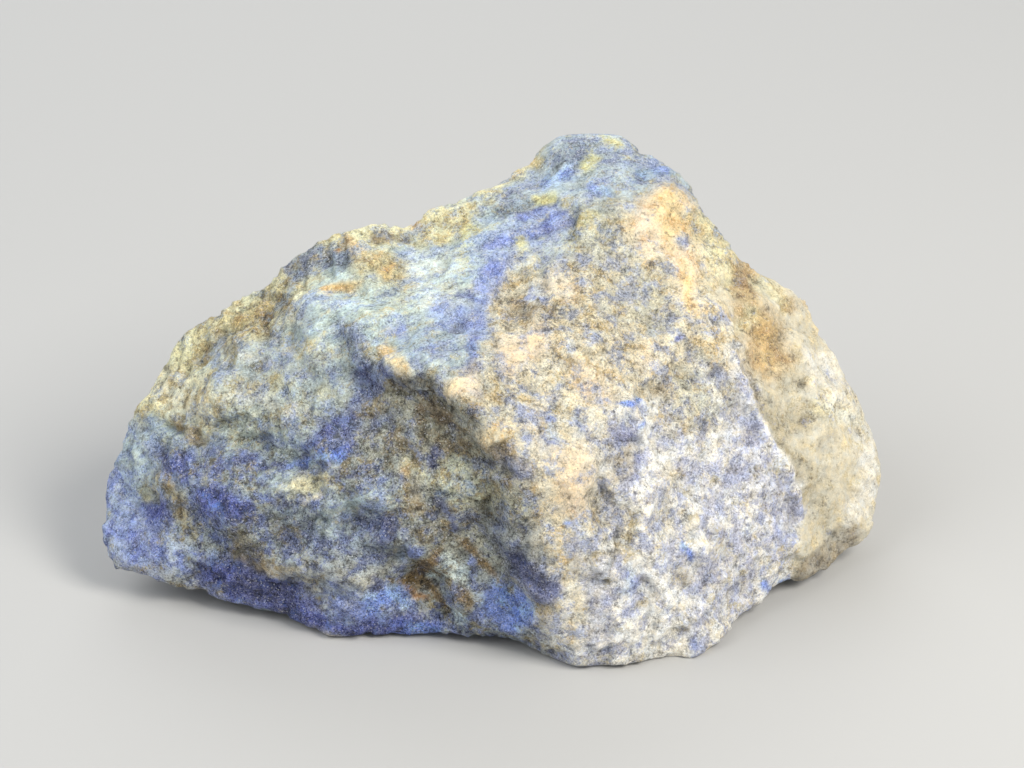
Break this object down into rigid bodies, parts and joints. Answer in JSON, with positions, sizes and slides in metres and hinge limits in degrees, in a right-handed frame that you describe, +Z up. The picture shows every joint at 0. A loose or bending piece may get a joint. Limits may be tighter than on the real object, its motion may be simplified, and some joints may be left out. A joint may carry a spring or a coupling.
{
  "type": "lapis lazuli specimen",
  "caption": "Rough broken stone of blue lapis rock with pale calcite along one end, a sharp crest across its front and a flat underside to rest on.",
  "frame": {"origin": "centre of the bottom of the stone's box, on the flat underside", "axes": "+Z up, +X along the length of the stone towards the calcite end, -Y towards the show side"},
  "size_m": [0.0982, 0.054, 0.0497],
  "materials": {
    "lapis_rock": "rough"
  },
  "bodies": {
    "root": {"lapis_stone": "lapis_rock"}
  },
  "joints": []
}
